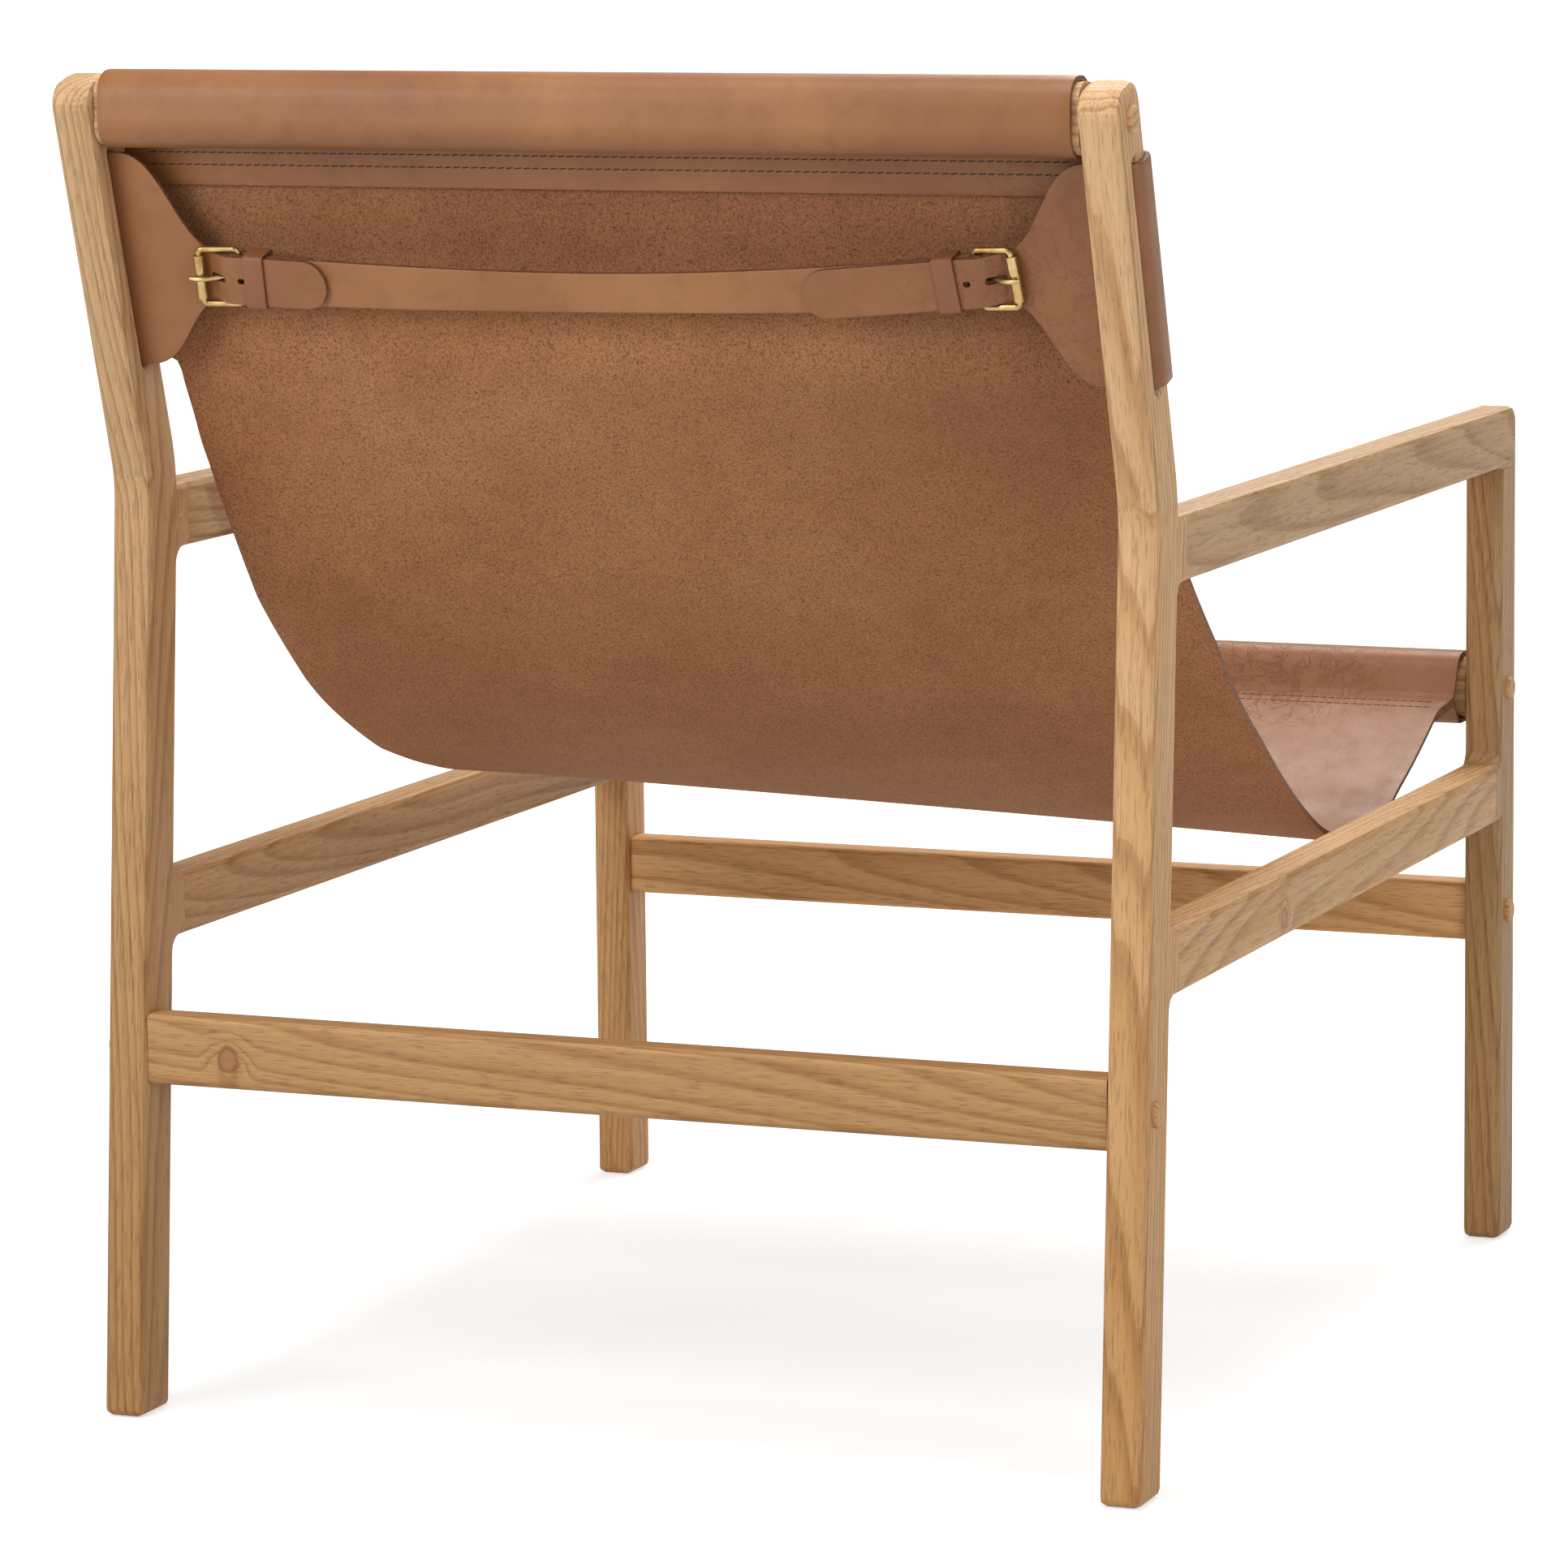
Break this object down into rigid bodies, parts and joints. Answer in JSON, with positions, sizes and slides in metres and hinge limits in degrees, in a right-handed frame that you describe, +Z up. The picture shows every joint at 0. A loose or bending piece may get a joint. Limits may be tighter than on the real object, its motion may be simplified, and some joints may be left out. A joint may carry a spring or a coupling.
{
  "type": "sling lounge chair",
  "caption": "Low lounge chair with a slim raked hardwood frame, open arms and a one-piece leather sling whose wings pass through the rear legs and buckle behind the back.",
  "frame": {"origin": "on the floor in the middle of the chair's footprint box", "axes": "+Z up, the chair faces -Y, +X towards the sitter's left"},
  "size_m": [0.6568, 0.8042, 0.7993],
  "materials": {
    "oiled_teak": "light oiled hardwood, satin",
    "tan_leather": "waxed saddle leather, grain side out",
    "aged_brass": "aged brass, worn satin",
    "zinc_steel": "zinc plated steel, hidden"
  },
  "bodies": {
    "chair": {"arm_left": "oiled_teak", "arm_pin_front_left": "oiled_teak", "arm_pin_front_right": "oiled_teak", "arm_pin_rear_left": "oiled_teak", "arm_pin_rear_right": "oiled_teak", "arm_right": "oiled_teak", "back_bar": "oiled_teak", "back_strap": "tan_leather", "bolt_back_bar_left": "zinc_steel", "bolt_back_bar_right": "zinc_steel", "bolt_front_stretcher_left": "zinc_steel", "bolt_front_stretcher_right": "zinc_steel", "bolt_rear_stretcher_left": "zinc_steel", "bolt_rear_stretcher_right": "zinc_steel", "bolt_seat_bar_left": "zinc_steel", "bolt_seat_bar_right": "zinc_steel", "buckle_frame_left": "aged_brass", "buckle_frame_right": "aged_brass", "front_leg_left": "oiled_teak", "front_leg_right": "oiled_teak", "front_stretcher": "oiled_teak", "nut_back_bar_left": "zinc_steel", "nut_back_bar_right": "zinc_steel", "nut_front_stretcher_left": "zinc_steel", "nut_front_stretcher_right": "zinc_steel", "nut_rear_stretcher_left": "zinc_steel", "nut_rear_stretcher_right": "zinc_steel", "nut_seat_bar_left": "zinc_steel", "nut_seat_bar_right": "zinc_steel", "plug_back_bar_left": "oiled_teak", "plug_back_bar_right": "oiled_teak", "plug_front_stretcher_left": "oiled_teak", "plug_front_stretcher_right": "oiled_teak", "plug_rear_stretcher_left": "oiled_teak", "plug_rear_stretcher_right": "oiled_teak", "plug_seat_bar_left": "oiled_teak", "plug_seat_bar_right": "oiled_teak", "rear_leg_left": "oiled_teak", "rear_leg_right": "oiled_teak", "rear_stretcher": "oiled_teak", "seat_bar": "oiled_teak", "side_rail_left": "oiled_teak", "side_rail_right": "oiled_teak", "sling": "tan_leather"},
    "roller_left": {"roller_left": "aged_brass"},
    "prong_left": {"prong_left": "aged_brass"},
    "keeper_left": {"keeper_left": "tan_leather"},
    "roller_right": {"roller_right": "aged_brass"},
    "prong_right": {"prong_right": "aged_brass"},
    "keeper_right": {"keeper_right": "tan_leather"}
  },
  "joints": [
    {"name": "roller_spin_left", "type": "hinge", "parent": "chair", "child": "roller_left", "pos_m": [0.25298, 0.35623, 0.67855], "axis": [0.045, -0.2871, -0.9569], "continuous": true},
    {"name": "prong_lift_left", "type": "hinge", "parent": "chair", "child": "prong_left", "pos_m": [0.2295, 0.3521, 0.67869], "axis": [-0.045, 0.2871, 0.9569], "range_deg": [0, 4]},
    {"name": "keeper_slide_left", "type": "slide", "parent": "chair", "child": "keeper_left", "axis": [-0.999, -0.0129, -0.0431], "range_m": [0, 0.006]},
    {"name": "roller_spin_right", "type": "hinge", "parent": "chair", "child": "roller_right", "pos_m": [-0.2499, 0.35854, 0.68626], "axis": [0.0896, 0.2862, 0.954], "continuous": true},
    {"name": "prong_lift_right", "type": "hinge", "parent": "chair", "child": "prong_right", "pos_m": [-0.2265, 0.35411, 0.68539], "axis": [-0.0896, -0.2862, -0.954], "range_deg": [0, 4]},
    {"name": "keeper_slide_right", "type": "slide", "parent": "chair", "child": "keeper_right", "axis": [0.996, -0.0258, -0.0859], "range_m": [0, 0.006]}
  ]
}
